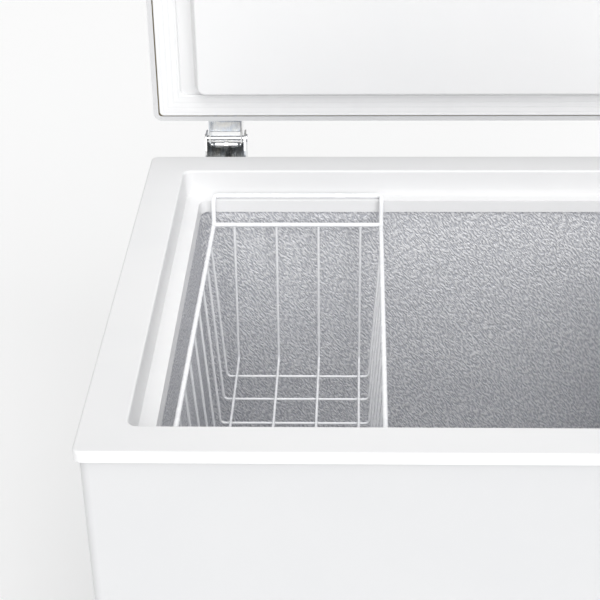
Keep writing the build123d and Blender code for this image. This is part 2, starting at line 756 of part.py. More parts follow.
with BuildPart() as foot_screws:
    with BuildSketch(Plane.XY.offset(base_top)):
        with GridLocations(2 * foot_x, 2 * foot_y, 2, 2):
            with GridLocations(foot_hole_pitch, foot_hole_pitch, 2, 2):
                Circle(screw_shank)
    extrude(amount=foot_height - base_top - foot_plate)
    with BuildSketch(Plane.XY.offset(foot_height - foot_plate)):
        with GridLocations(2 * foot_x, 2 * foot_y, 2, 2):
            with GridLocations(foot_hole_pitch, foot_hole_pitch, 2, 2):
                RegularPolygon(4.4, 6)
    extrude(amount=-3.4)
finish(foot_screws, "foot_screws")

# ---- lid, standing open ------------------------------------------------------

arm_screw_places = [(side * hinge_x + x, y)
                    for side in (-1, 1) for x in (-11, 11) for y in arm_screw_rows]

# Painted steel pan with a hem turned inwards round its edge.
with BuildPart() as lid_shell:
    with BuildSketch(lid_plane(hem_face)):
        lid_outline(0, lid_corner)
    extrude(amount=lid_back - hem_face)
    fillet(lid_shell.faces().sort_by(Axis.Y)[-1].edges(), 7)
    offset(amount=-sheet, openings=lid_shell.faces().sort_by(Axis.Y)[0])
    with BuildSketch(lid_plane(hem_face)):
        lid_outline(0, lid_corner)
        lid_outline(hem_width, lid_corner - hem_width, mode=Mode.SUBTRACT)
    extrude(amount=sheet)
    with BuildSketch(Plane.XY.offset(lid_low - 1)):
        with Locations(*arm_screw_places):
            Circle(screw_hole)
    extrude(amount=3, mode=Mode.SUBTRACT)
finish(lid_shell, "lid_shell")

# White moulded liner: flat flange for the gasket and a raised plug in the middle.
with BuildPart() as lid_liner:
    with BuildSketch(lid_plane(flange_face)):
        lid_outline(gasket_inset + 0.6, 5)
    extrude(amount=liner_wall)
    with BuildSketch(lid_plane(flange_face)):
        lid_outline(plug_foot_side, 9, plug_foot_rear)
    with BuildSketch(lid_plane(plug_face)):
        lid_outline(plug_foot_side + plug_slope, 8, plug_foot_rear + plug_slope)
    loft()
    fillet(lid_liner.faces().sort_by(Axis.Y)[0].edges(), 2.5)
    with BuildSketch(lid_plane(flange_face + liner_wall)):
        lid_outline(plug_foot_side + liner_wall, 8, plug_foot_rear + liner_wall)
    with BuildSketch(lid_plane(plug_face + liner_wall)):
        lid_outline(plug_foot_side + plug_slope + liner_wall, 7, plug_foot_rear + plug_slope + liner_wall)
    loft(mode=Mode.SUBTRACT)
finish(lid_liner, "lid_liner")

# Foam that fills the lid between its shell and its liner.
with BuildPart() as lid_foam:
    with BuildSketch(lid_plane(flange_face + liner_wall)):
        lid_outline(sheet + 0.05, lid_corner - sheet)
    extrude(amount=lid_back - sheet - 0.05 - flange_face - liner_wall)
    fillet(lid_foam.faces().sort_by(Axis.Y)[-1].edges(), 7)
    # channel behind the gap between hem and gasket
    with BuildSketch(lid_plane(flange_face + liner_wall)):
        lid_outline(0, lid_corner)
        lid_outline(gasket_inset + 1, 5, mode=Mode.SUBTRACT)
    extrude(amount=gap_depth, mode=Mode.SUBTRACT)
    with BuildSketch(lid_plane(flange_face + liner_wall)):
        lid_outline(plug_foot_side + liner_wall + 0.1, 8, plug_foot_rear + liner_wall + 0.1)
    with BuildSketch(lid_plane(plug_face + liner_wall + 0.1)):
        lid_outline(plug_foot_side + plug_slope + liner_wall + 0.2, 7,
                    plug_foot_rear + plug_slope + liner_wall + 0.2)
    loft()
    with BuildSketch(Plane.XY.offset(lid_low)):
        with Locations(*arm_screw_places):
            Circle(screw_hole)
    extrude(amount=14, mode=Mode.SUBTRACT)
finish(lid_foam, "lid_foam")

# Gasket: soft flat bulb all round the flange.
with BuildPart() as lid_gasket:
    with BuildSketch(lid_plane(gasket_face)):
        lid_outline(gasket_inset, 5)
        lid_outline(gasket_inset + gasket_width, 6, mode=Mode.SUBTRACT)
    extrude(amount=flange_face - gasket_face)
    fillet(lid_gasket.faces().sort_by(Axis.Y)[0].edges(), 1.8)
finish(lid_gasket, "lid_gasket")

# Moulded grip on the lid's front edge, with a hollow for the fingers underneath.
handle_y = (hem_face + lid_back) / 2 + 4
handle_width = 150.0
handle_depth = 30.0
handle_screw_places = [(-50, handle_y - 4), (50, handle_y - 4)]
with BuildPart() as lid_handle:
    with BuildSketch(Plane.XY.offset(lid_high)):
        with Locations((0, handle_y)):
            RectangleRounded(handle_width, handle_depth, 8)
    extrude(amount=22, taper=6)
    fillet(lid_handle.faces().sort_by(Axis.Z)[-1].edges(), 4)
    with Locations((0, handle_y - 8, lid_high + 9.5)):
        Box(handle_width - 32, handle_depth - 4, 19.1, mode=Mode.SUBTRACT)
    with BuildSketch(Plane.XY.offset(lid_high)):
        with Locations((0, handle_y)):
            RectangleRounded(handle_width, handle_depth, 8)
    extrude(amount=2.4)
    with BuildSketch(Plane.XY.offset(lid_high)):
        with Locations(*handle_screw_places):
            Circle(screw_hole)
    extrude(amount=10, mode=Mode.SUBTRACT)
finish(lid_handle, "lid_handle")

with BuildPart() as handle_screws:
    with BuildSketch(Plane.XY.offset(lid_high)):
        with Locations(*handle_screw_places):
            Circle(screw_shank)
    extrude(amount=2.4)
    with BuildSketch(Plane.XY.offset(lid_high + 2.4)):
        with Locations(*handle_screw_places):
            Circle(4)
    extrude(amount=2)
    fillet(handle_screws.faces().sort_by(Axis.Z)[-2:].edges(), 1)
finish(handle_screws, "handle_screws")

# ---- hinges ------------------------------------------------------------------

bracket_back = skin_y + 0.1
bracket_rear = 316.0
bar_z = hinge_z - bar_arm
ear_gap = 3.8


def hinge_bracket(x):
    """Hat-shaped steel housing screwed to the rear panel; its cheeks carry the pin."""
    with BuildPart() as bracket:
        with BuildSketch(Plane.YZ.offset(x - bracket_half)):
            with BuildLine():
                Polyline((bracket_back, 690), (bracket_back, 786), (281.5, 788), (281.5, 806), (286, 821),
                         (306, 821), (bracket_rear, 810), (bracket_rear, 704), (302, 690),
                         (bracket_back, 690))
            make_face()
            with Locations((hinge_y, hinge_z)):
                Circle(pin_radius, mode=Mode.SUBTRACT)
        extrude(amount=plate)
        mirror(about=Plane.YZ.offset(x))
        # closed back of the housing
        with BuildSketch(Plane.XZ.offset(-bracket_rear)):
            with Locations((x, (704 + 802) / 2)):
                Rectangle(2 * bracket_half, 802 - 704)
        extrude(amount=plate)
        # flanges with the screw holes
        with BuildSketch(Plane.XZ.offset(-bracket_back)):
            for way in (-1, 1):
                with Locations((x + way * (bracket_half + 6), 740)):
                    RectangleRounded(16, 88, 3)
            with Locations(*bracket_screw_places):
                Circle(screw_hole, mode=Mode.SUBTRACT)
        extrude(amount=-plate)
        # two ears bent in from the cheeks: the spring bears on them and its rod runs between
        ear_reach = bracket_half - 0.5 * plate - ear_gap
        with BuildSketch(Plane.XY.offset(spring_high + 1)):
            for way in (-1, 1):
                with Locations((x + way * (ear_gap + ear_reach / 2), hinge_y)):
                    Rectangle(ear_reach, 22)
        extrude(amount=plate)
    return bracket.part


def hinge_arm(x):
    """Channel screwed under the lid's edge; it turns on the pin and holds the spring's bar."""
    with BuildPart() as arm:
        with BuildSketch(Plane.YZ.offset(x - arm_half)):
            with BuildLine():
                Polyline((291, lid_low), (291, 811), (294, 801), (305, 799.8), (309, 806), (311, 818),
                         (327, lid_low - 4), (327, lid_low), (291, lid_low))
            make_face()
            with Locations((hinge_y, hinge_z)):
                Circle(pin_radius + 0.06, mode=Mode.SUBTRACT)
            with Locations((hinge_y, bar_z)):
                Circle(bar_end_radius, mode=Mode.SUBTRACT)
        extrude(amount=plate)
        mirror(about=Plane.YZ.offset(x))
        # back of the channel, behind the pin
        with BuildSketch(Plane.XZ.offset(-arm_web)):
            with Locations((x, (818 + lid_low) / 2)):
                Rectangle(2 * arm_half, lid_low - 818)
        extrude(amount=plate)
        with BuildSketch(Plane.XY.offset(lid_low)):
            with Locations((x, 309)):
                Rectangle(2 * arm_half, 36)
                with Locations(*[(ax, ay - 309) for ax in (-11, 11) for ay in arm_screw_rows]):
                    Circle(screw_hole, mode=Mode.SUBTRACT)
        extrude(amount=-plate)
    return arm.part


def hinge_pin(x):
    """Headed pin through both cheeks."""
    with BuildPart() as pin:
        with BuildSketch(Plane.YZ.offset(x - bracket_half)):
            with Locations((hinge_y, hinge_z)):
                Circle(pin_radius)
        extrude(amount=2 * bracket_half)
        for face, way in ((x - bracket_half, -1), (x + bracket_half, 1)):
            with BuildSketch(Plane.YZ.offset(face)):
                with Locations((hinge_y, hinge_z)):
                    Circle(pin_radius + 1.8)
            extrude(amount=way * 1.6)
        fillet(pin.faces().sort_by(Axis.X)[0].edges() + pin.faces().sort_by(Axis.X)[-1].edges(), 0.7)
    return pin.part


def spring_bar(x):
    """Turned cross bar with tapered ends and a groove for the rod's eye, riveted in the arm."""
    half = [(0, bar_radius), (3, bar_radius), (3, 3.1), (12.5, 3.1), (15.5, bar_end_radius),
            (arm_half, bar_end_radius), (arm_half, bar_end_radius + 1.2),
            (arm_half + 1, bar_end_radius + 0.6)]
    outline = [(-a, r) for a, r in reversed(half)] + half[1:]
    with BuildPart() as bar:
        with BuildSketch(Plane(origin=(x, hinge_y, bar_z), x_dir=(1, 0, 0), z_dir=(0, -1, 0))):
            with BuildLine():
                Polyline((-arm_half - 1, 0), *outline, (arm_half + 1, 0), (-arm_half - 1, 0))
            make_face()
        revolve(axis=Axis((x, hinge_y, bar_z), (1, 0, 0)))
    return bar.part


def spring_rod(x):
    """Rod with an eye on the spring's bar and a seat at its lower end."""
    with BuildPart() as rod:
        with BuildSketch(Plane.XY.offset(rod_bottom)):
            with Locations((x, hinge_y)):
                Circle(rod_radius)
        extrude(amount=bar_z - 3.4 - rod_bottom)
        with BuildSketch(Plane.YZ.offset(x - 2.5)):
            with Locations((hinge_y, bar_z)):
                Circle(4.4)
        extrude(amount=5)
        with BuildSketch(Plane.YZ.offset(x - 3)):
            with Locations((hinge_y, bar_z)):
                Circle(bar_radius + 0.06)
        extrude(amount=6, mode=Mode.SUBTRACT)
        with BuildSketch(Plane.XY.offset(spring_low - 3)):
            with Locations((x, hinge_y)):
                Circle(9.5)
        extrude(amount=2.5)
        with BuildSketch(Plane.XY.offset(spring_low - 3)):
            with Locations((x, hinge_y)):
                RegularPolygon(4.5, 6)
        extrude(amount=-3.2)
    return rod.part


def hinge_spring(x):
    """Compression spring between the rod's seat and the guide tab."""
    spring_wire = 1.1
    coil_radius = 7.2
    height = spring_high - spring_low - 2 * spring_wire
    with BuildPart() as spring:
        with BuildLine() as route:
            Helix(pitch=height / 8, height=height, radius=coil_radius,
                  center=(x, hinge_y, spring_low + spring_wire))
        with BuildSketch(Plane(origin=route.line @ 0, z_dir=route.line % 0)):
            Circle(spring_wire)
        sweep(path=route.line, is_frenet=True)
    return spring.part


for side, sign in (("left", -1), ("right", 1)):
    for name, maker in (("hinge_bracket", hinge_bracket), ("hinge_arm", hinge_arm),
                        ("hinge_pin", hinge_pin), ("spring_bar", spring_bar),
                        ("spring_rod", spring_rod), ("hinge_spring", hinge_spring)):
        save(maker(sign * hinge_x), f"{name}_{side}")

with BuildPart() as arm_screws:
    with BuildSketch(Plane.XY.offset(lid_low + 12)):
        with Locations(*arm_screw_places):
            Circle(screw_shank)
    extrude(amount=-12 - plate)
    with BuildSketch(Plane.XY.offset(lid_low - plate)):
        with Locations(*arm_screw_places):
            Circle(3.8)
    extrude(amount=-2)
    fillet(arm_screws.faces().sort_by(Axis.Z)[:8].edges(), 1)
finish(arm_screws, "arm_screws")

with BuildPart() as bracket_screws:
    with BuildSketch(Plane.XZ.offset(-bracket_back - plate)):
        with Locations(*bracket_screw_places):
            Circle(screw_shank)
    extrude(amount=14)
    with BuildSketch(Plane.XZ.offset(-bracket_back - plate)):
        with Locations(*bracket_screw_places):
            Circle(4)
    extrude(amount=-2.2)
    fillet(bracket_screws.faces().sort_by(Axis.Y)[-8:].edges(), 1)
finish(bracket_screws, "bracket_screws")

# ---- basket ------------------------------------------------------------------

rim_y_rear = bar_y_rear - rim_setback
rim_y_front = bar_y_front + rim_setback
bar_z_level = ledge_top + frame_wire + 0.3
drop_setback = 14.0


def hung(x, y):
    """Plan place of a basket point: the basket hangs a little askew, its right rail closing in."""
    forward = (bar_y_rear - y) / (bar_y_rear - bar_y_front)
    rightward = max(0.0, x / bar_half)
    return basket_x + x + basket_skew * (1 / 3 - forward) - rail_taper * rightward * forward, y


def hung_wire(points, radius, bend, close=False):
    """Wire through basket points given square to the basket."""
    return wire([(*hung(x, y), z) for x, y, z in points], radius, bend, close)


# Thick wire loop: side rails, raised at both ends to the bars that hang on the ledges.
rail_side = [(bar_half, bar_y_rear, bar_z_level), (bar_half, bar_y_rear - drop_setback, bar_z_level),
             (rim_half, rim_y_rear, rim_z), (rim_half, rim_y_front, rim_z),
             (bar_half, bar_y_front + drop_setback, bar_z_level), (bar_half, bar_y_front, bar_z_level)]
with BuildPart() as basket_frame:
    add(hung_wire(rail_side + [(-x, y, z) for x, y, z in reversed(rail_side)], frame_wire, 6, close=True))
    for y in (rim_y_rear - 1, rim_y_front + 1):
        rail_left = hung(-rim_half, y)[0]
        with BuildSketch(Plane.YZ.offset(rail_left)):
            with Locations((y, rim_z)):
                Circle(frame_wire)
        extrude(amount=hung(rim_half, y)[0] - rail_left)
finish(basket_frame, "basket_frame")

# Four lengthwise wires: down the rear face, along the floor and up the front face.
face_y_rear = rim_y_rear - 1
face_y_front = rim_y_front + 1
wire_top = rim_z - frame_wire - 0.05
floor_run = 9.0
long_wire_z = basket_floor_z + 2 * thin_wire + 0.05
with BuildPart() as basket_long_wires:
    for i in range(4):
        x = (i - 1.5) * wire_pitch
        add(hung_wire([(x, face_y_rear, wire_top), (x, face_y_rear - floor_run, long_wire_z),
                       (x, face_y_front + floor_run, long_wire_z), (x, face_y_front, wire_top)],
                      thin_wire, 7))
finish(basket_long_wires, "basket_long_wires")

# Cross wires: down one side, across under the floor and up the other side.
cross_count = 8
first_cross = 170.0
with BuildPart() as basket_cross_wires:
    for i in range(cross_count):
        y = first_cross - i * wire_pitch
        add(hung_wire([(-rim_half, y, wire_top), (-basket_floor_half, y, basket_floor_z),
                       (basket_floor_half, y, basket_floor_z), (rim_half, y, wire_top)], thin_wire, 5))
finish(basket_cross_wires, "basket_cross_wires")
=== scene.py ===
import json
import math

import bmesh
import bpy
from mathutils import Euler, Matrix, Vector


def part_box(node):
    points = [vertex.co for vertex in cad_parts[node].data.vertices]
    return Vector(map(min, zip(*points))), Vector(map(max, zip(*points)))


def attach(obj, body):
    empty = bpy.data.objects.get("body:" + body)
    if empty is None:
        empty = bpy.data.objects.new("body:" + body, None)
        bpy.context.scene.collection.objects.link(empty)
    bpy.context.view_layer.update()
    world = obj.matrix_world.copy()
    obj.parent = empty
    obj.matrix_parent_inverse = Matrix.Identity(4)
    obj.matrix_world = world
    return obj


# Chest freezer with its lid standing open. Metres, +Z up, front towards -Y.

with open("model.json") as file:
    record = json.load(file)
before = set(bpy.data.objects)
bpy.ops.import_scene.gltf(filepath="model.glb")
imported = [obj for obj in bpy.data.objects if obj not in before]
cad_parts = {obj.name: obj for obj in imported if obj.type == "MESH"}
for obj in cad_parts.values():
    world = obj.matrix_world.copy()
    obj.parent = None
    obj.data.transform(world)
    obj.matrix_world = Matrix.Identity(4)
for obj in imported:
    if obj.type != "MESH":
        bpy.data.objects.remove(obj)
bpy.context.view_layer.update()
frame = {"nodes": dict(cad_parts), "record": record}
nodes = frame["nodes"]

# ---- sizes taken from the frame ----------------------------------------------

collar_low, collar_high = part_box("top_collar")
gasket_low, gasket_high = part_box("lid_gasket")
long_low, long_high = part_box("basket_long_wires")
cross_low, cross_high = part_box("basket_cross_wires")
bezel_low, bezel_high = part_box("control_bezel")
knob_low, knob_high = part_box("thermostat_knob")
lens_low, lens_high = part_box("indicator_lights")
panel_low, panel_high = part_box("rear_panel")


# ---- finishes ----------------------------------------------------------------

class Finish:
    """One material: even values on the shader, patterns from the piece's own coordinates."""

    def __init__(self, name, colour, roughness, metallic=0.0, coat=0.0, specular=0.5):
        self.material = bpy.data.materials.new(name)
        self.material.use_nodes = True
        self.tree = self.material.node_tree
        self.shader = self.tree.nodes["Principled BSDF"]
        self.shader.inputs["Base Color"].default_value = (*colour, 1.0)
        self.shader.inputs["Roughness"].default_value = roughness
        self.shader.inputs["Metallic"].default_value = metallic
        self.shader.inputs["Coat Weight"].default_value = coat
        self.shader.inputs["Coat Roughness"].default_value = 0.12
        self.shader.inputs["Specular IOR Level"].default_value = specular
        self.relief = None

    def add(self, kind, **settings):
        made = self.tree.nodes.new(kind)
        for key, value in settings.items():
            setattr(made, key, value)
        return made

    def link(self, source, target):
        self.tree.links.new(source, target)

    def mapped(self, where, stretch=(1, 1, 1), turn=0.0):
        """Coordinates stretched along each axis, then turned about Z by an angle in degrees."""
        mapping = self.add("ShaderNodeMapping")
        mapping.inputs["Scale"].default_value = stretch
        mapping.inputs["Rotation"].default_value = (0, 0, math.radians(turn))
        self.link(where, mapping.inputs["Vector"])
        return mapping.outputs["Vector"]

    def place(self, stretch=(1, 1, 1)):
        """The piece's own coordinates in metres, stretched."""
        return self.mapped(self.add("ShaderNodeTexCoord").outputs["Object"], stretch)

    def axes(self):
        """The piece's own coordinates in metres, as separate X, Y and Z."""
        parts = self.add("ShaderNodeSeparateXYZ")
        self.link(self.place(), parts.inputs["Vector"])
        return parts.outputs

    def noise(self, where, grains_per_metre, detail=2.0, rough=0.5, swirl=0.0):
        texture = self.add("ShaderNodeTexNoise")
        texture.inputs["Scale"].default_value = grains_per_metre
        texture.inputs["Detail"].default_value = detail
        texture.inputs["Roughness"].default_value = rough
        texture.inputs["Distortion"].default_value = swirl
        self.link(where, texture.inputs["Vector"])
        return texture.outputs["Fac"]

    def cells(self, where, cells_per_metre, output="Distance"):
        texture = self.add("ShaderNodeTexVoronoi")
        texture.inputs["Scale"].default_value = cells_per_metre
        self.link(where, texture.inputs["Vector"])
        return texture.outputs[output]

    def spread(self, value, low_in, high_in, low_out, high_out):
        """Maps one range of a pattern onto another, held at both ends."""
        node = self.add("ShaderNodeMapRange")
        for socket, number in zip(node.inputs[1:5], (low_in, high_in, low_out, high_out)):
            socket.default_value = number
        self.link(value, node.inputs["Value"])
        return node.outputs["Result"]

    def widen(self, pattern, low=0.3, high=0.7):
        """Stretches the range that a noise really reaches onto 0 to 1."""
        return self.spread(pattern, low, high, 0, 1)

    def combine(self, operation, first, second=0.0):
        """Arithmetic on two patterns or numbers, or on one."""
        node = self.add("ShaderNodeMath", operation=operation)
        for socket, value in zip(node.inputs, (first, second)):
            if isinstance(value, (int, float)):
                socket.default_value = value
            else:
                self.link(value, socket)
        return node.outputs["Value"]

    def tint(self, amount, dark, light):
        """Base colour that runs from dark to light with a pattern."""
        mix = self.add("ShaderNodeMix", data_type="RGBA")
        mix.inputs["A"].default_value = (*dark, 1.0)
        mix.inputs["B"].default_value = (*light, 1.0)
        self.link(amount, mix.inputs["Factor"])
        self.link(mix.outputs["Result"], self.shader.inputs["Base Color"])
        return mix.outputs["Result"]

    def blend_over(self, base, amount, colour):
        """Lays another colour over the base colour where a pattern says."""
        mix = self.add("ShaderNodeMix", data_type="RGBA")
        self.link(base, mix.inputs["A"])
        mix.inputs["B"].default_value = (*colour, 1.0)
        self.link(amount, mix.inputs["Factor"])
        self.link(mix.outputs["Result"], self.shader.inputs["Base Color"])
        return mix.outputs["Result"]

    def roughen(self, value, low, high, low_in=0.3, high_in=0.7):
        self.link(self.spread(value, low_in, high_in, low, high), self.shader.inputs["Roughness"])

    def bump(self, height, depth, strength=1.0):
        """Adds a relief of the given depth in metres on top of the earlier ones."""
        node = self.add("ShaderNodeBump")
        node.inputs["Distance"].default_value = depth
        node.inputs["Strength"].default_value = strength
        self.link(height, node.inputs["Height"])
        if self.relief is not None:
            self.link(self.relief, node.inputs["Normal"])
        self.relief = node.outputs["Normal"]
        self.link(self.relief, self.shader.inputs["Normal"])


def sprayed_enamel(name, light, dark, roughness=0.3, peel=0.00006):
    """Baked paint: soft orange peel under a thin gloss, and a slightly cloudy colour."""
    finish = Finish(name, light, roughness, coat=0.12)
    where = finish.place()
    clouds = finish.noise(where, 7, detail=4, rough=0.6)
    finish.tint(finish.widen(clouds), dark, light)
    wipes = finish.noise(finish.place(stretch=(1, 1, 2)), 6, detail=2, rough=0.5)
    finish.roughen(wipes, roughness - 0.03, roughness + 0.05)
    finish.bump(finish.noise(where, 420, detail=2), peel, 0.4)
    return finish.material


def moulded_plastic(name, light, dark, roughness=0.38, grain=0.00004, grains=1400):
    """Injection-moulded or vacuum-formed plastic with a fine grain and faint flow marks."""
    finish = Finish(name, light, roughness)
    where = finish.place()
    flow = finish.noise(finish.place(stretch=(1, 2.6, 1)), 5, detail=5, rough=0.6, swirl=0.6)
    finish.tint(finish.widen(flow), dark, light)
    handling = finish.noise(where, 24, detail=4, rough=0.7)
    finish.roughen(handling, roughness - 0.05, roughness + 0.09)
    finish.bump(finish.noise(where, grains, detail=2, rough=0.6), grain, 0.35)
    finish.bump(finish.noise(where, 30, detail=1), 0.0003, 0.12)
    return finish.material


def embossed_sheet(name, across, up):
    """Aluminium sheet rolled with short wavy diagonal ridges, with painted shade in the gaps and painted
    highlight on the crests.

    across and up name the axes that are added up, so that one flat pattern follows walls that
    face different ways.
    """
    pattern_start = 0.5
    ridge_turn = 54
    ridge_stretch = 0.42
    ridges_per_metre = 550
    finish = Finish(name, (0.8, 0.8, 0.81), 0.4, metallic=0.2)
    axes = finish.axes()

    def along(names):
        total = pattern_start
        for axis in names:
            total = finish.combine("ADD", axes[axis], total)
        return total

    flat = finish.add("ShaderNodeCombineXYZ")
    finish.link(along(across), flat.inputs["X"])
    finish.link(along(up), flat.inputs["Y"])
    turned = finish.mapped(flat.outputs["Vector"], turn=ridge_turn)
    drawn_out = finish.mapped(turned, stretch=(ridge_stretch, 1.0, 1.0))
    lumps = finish.noise(drawn_out, ridges_per_metre, detail=1, rough=0.4, swirl=0.4)
    ridges = finish.widen(lumps, 0.38, 0.62)
    grain = finish.noise(flat.outputs["Vector"], 1500, detail=2)
    mill = finish.noise(finish.place(stretch=(1, 1, 5)), 3.2, detail=3, rough=0.6)
    # Painted shade in the gaps between ridges and painted highlight on their crests, times a slow real
    # change of tone from the mill pattern.
    ridge_shade_and_mill_tone = finish.combine("MULTIPLY", ridges, finish.spread(mill, 0.3, 0.7, 0.75, 1))
    finish.tint(ridge_shade_and_mill_tone, (0.6, 0.61, 0.65), (0.99, 0.99, 1.0))
    finish.roughen(mill, 0.34, 0.46)
    finish.bump(ridges, 0.0009, 0.9)
    finish.bump(grain, 0.00003, 0.3)
    return finish.material


def galvanised_sheet(name):
    """Hot-dip zinc with crystals about a centimetre across."""
    finish = Finish(name, (0.6, 0.62, 0.64), 0.4, metallic=0.85)
    where = finish.place()
    crystal = finish.add("ShaderNodeSeparateColor")
    finish.link(finish.cells(where, 95, output="Color"), crystal.inputs["Color"])
    spangle = crystal.outputs["Red"]
    finish.tint(spangle, (0.46, 0.48, 0.5), (0.68, 0.7, 0.72))
    finish.roughen(spangle, 0.32, 0.52, 0, 1)
    finish.bump(finish.cells(where, 95), 0.00012, 0.25)
    finish.bump(finish.noise(where, 900, detail=3), 0.00003, 0.3)
    return finish.material


def plated_steel(name):
    """Bright zinc plate with a faint rainbow haze and drawn scratches."""
    finish = Finish(name, (0.76, 0.77, 0.79), 0.2, metallic=1.0)
    haze = finish.noise(finish.place(), 55, detail=3, rough=0.6, swirl=0.8)
    base = finish.tint(finish.widen(haze, 0.35, 0.65), (0.66, 0.70, 0.76), (0.84, 0.83, 0.79))
    scratches = finish.noise(finish.place(stretch=(30, 30, 1)), 60, detail=6, rough=0.7)
    finish.blend_over(base, finish.spread(scratches, 0.62, 0.8, 0, 0.5), (0.42, 0.43, 0.45))
    finish.roughen(scratches, 0.14, 0.34)
    finish.bump(scratches, 0.00004, 0.35)
    return finish.material


def turned_steel(name):
    """Polished steel with fine rings left by turning along X."""
    finish = Finish(name, (0.82, 0.83, 0.84), 0.1, metallic=1.0)
    rings = finish.noise(finish.place(stretch=(1, 0.02, 0.02)), 5200, detail=2)
    smears = finish.noise(finish.place(), 160, detail=3, rough=0.6)
    finish.tint(finish.widen(smears, 0.35, 0.65), (0.72, 0.73, 0.76), (0.88, 0.88, 0.87))
    finish.roughen(rings, 0.07, 0.2)
    finish.bump(rings, 0.000015, 0.4)
    return finish.material


def spring_wire(name):
    """Oil-hardened wire, dark and slightly mottled."""
    finish = Finish(name, (0.3, 0.3, 0.31), 0.38, metallic=0.95)
    mottle = finish.noise(finish.place(), 420, detail=4, rough=0.65)
    finish.tint(finish.widen(mottle), (0.22, 0.22, 0.24), (0.5, 0.49, 0.48))
    finish.roughen(mottle, 0.28, 0.5)
    finish.bump(mottle, 0.00003, 0.4)
    return finish.material


def drawn_tube(name, dark, light, stain=None):
    """Soft metal tube with die lines and handling marks."""
    finish = Finish(name, light, 0.3, metallic=1.0)
    marks = finish.noise(finish.place(), 70, detail=5, rough=0.65)
    base = finish.tint(finish.widen(marks), dark, light)
    if stain:
        blotches = finish.noise(finish.place(), 26, detail=4, rough=0.7, swirl=0.8)
        finish.blend_over(base, finish.spread(blotches, 0.52, 0.72, 0, 0.7), stain)
    finish.roughen(marks, 0.22, 0.45)
    finish.bump(finish.noise(finish.place(), 700, detail=3), 0.00004, 0.3)
    return finish.material


def dipped_wire(name):
    """White polymer coat on wire: glossy, a little lumpy, with a soft wavy skin."""
    finish = Finish(name, (0.88, 0.885, 0.9), 0.26, coat=0.35)
    where = finish.place()
    flow = finish.noise(where, 60, detail=3, rough=0.5)
    finish.tint(finish.widen(flow), (0.9, 0.91, 0.93), (0.95, 0.955, 0.965))
    finish.roughen(flow, 0.2, 0.34)
    finish.bump(finish.noise(where, 240, detail=1), 0.00018, 0.3)
    finish.bump(finish.noise(where, 1800, detail=2), 0.00002, 0.25)
    return finish.material


def soft_vinyl(name, light, dark, roughness=0.5):
    """Soft extruded vinyl or rubber with a fine matte bloom."""
    finish = Finish(name, light, roughness, specular=0.4)
    where = finish.place()
    bloom = finish.noise(where, 38, detail=5, rough=0.65)
    finish.tint(finish.widen(bloom), dark, light)
    finish.roughen(bloom, roughness - 0.06, roughness + 0.1)
    finish.bump(finish.noise(where, 1100, detail=3, rough=0.6), 0.00005, 0.4)
    return finish.material


def grooved_vinyl(name, low, high, groove_pitch):
    """White gasket vinyl with shallow grooves that run along the frame and meet at the corners, painted
    darker in the grooves as shade.
    """
    finish = Finish(name, (0.83, 0.83, 0.835), 0.46, specular=0.4)
    axes = finish.axes()
    middle = (low + high) / 2
    from_edge = []
    for axis, centre, half in (("X", middle.x, high.x - middle.x), ("Z", middle.z, high.z - middle.z)):
        offset = finish.combine("ABSOLUTE", finish.combine("SUBTRACT", axes[axis], centre))
        from_edge.append(finish.combine("SUBTRACT", half, offset))
    inward = finish.combine("MINIMUM", *from_edge)
    wave = finish.combine("SINE", finish.combine("MULTIPLY", inward, math.tau / groove_pitch))
    finish.bump(finish.spread(wave, -1.0, -0.6, 0, 1), 0.0004, 0.5)
    bloom = finish.noise(finish.place(), 38, detail=5, rough=0.65)
    # Painted shade: the colour is darker at the bottom of each groove, times a random bloom of tone.
    groove_depth_shade = finish.spread(wave, -1.0, -0.7, 0.6, 1)
    groove_shade_and_bloom = finish.combine("MULTIPLY", groove_depth_shade, finish.spread(bloom, 0.3, 0.7, 0.7, 1))
    finish.tint(groove_shade_and_bloom, (0.76, 0.765, 0.775), (0.84, 0.84, 0.845))
    finish.roughen(bloom, 0.42, 0.56)
    finish.bump(finish.noise(finish.place(), 1100, detail=3, rough=0.6), 0.00004, 0.35)
    return finish.material


def rigid_foam(name):
    """Poured foam: small closed cells and a few larger blows, yellowing with age."""
    finish = Finish(name, (0.84, 0.76, 0.5), 0.85, specular=0.2)
    where = finish.place()
    age = finish.noise(where, 14, detail=5, rough=0.6)
    finish.tint(finish.widen(age), (0.72, 0.6, 0.34), (0.88, 0.81, 0.58))
    finish.bump(finish.cells(where, 700), 0.0005, 0.6)
    finish.bump(finish.spread(finish.cells(where, 120), 0, 0.3, 0, 1), 0.0009, 0.5)
    return finish.material


def signal_lens(name, split_x):
    """Two moulded lenses, green on the left and amber on the right, with a diffusing ribbing."""
    finish = Finish(name, (0.1, 0.5, 0.15), 0.16, coat=0.4)
    right = finish.combine("GREATER_THAN", finish.axes()["X"], split_x)
    base = finish.tint(right, (0.05, 0.42, 0.12), (0.75, 0.3, 0.03))
    depth = finish.noise(finish.place(), 500, detail=2)
    finish.blend_over(base, finish.spread(depth, 0.45, 0.75, 0, 0.35), (0.9, 0.85, 0.6))
    ribs = finish.noise(finish.place(stretch=(0.02, 1, 1)), 1500, detail=0)
    finish.bump(ribs, 0.00008, 0.5)
    finish.roughen(depth, 0.1, 0.25)
    return finish.material


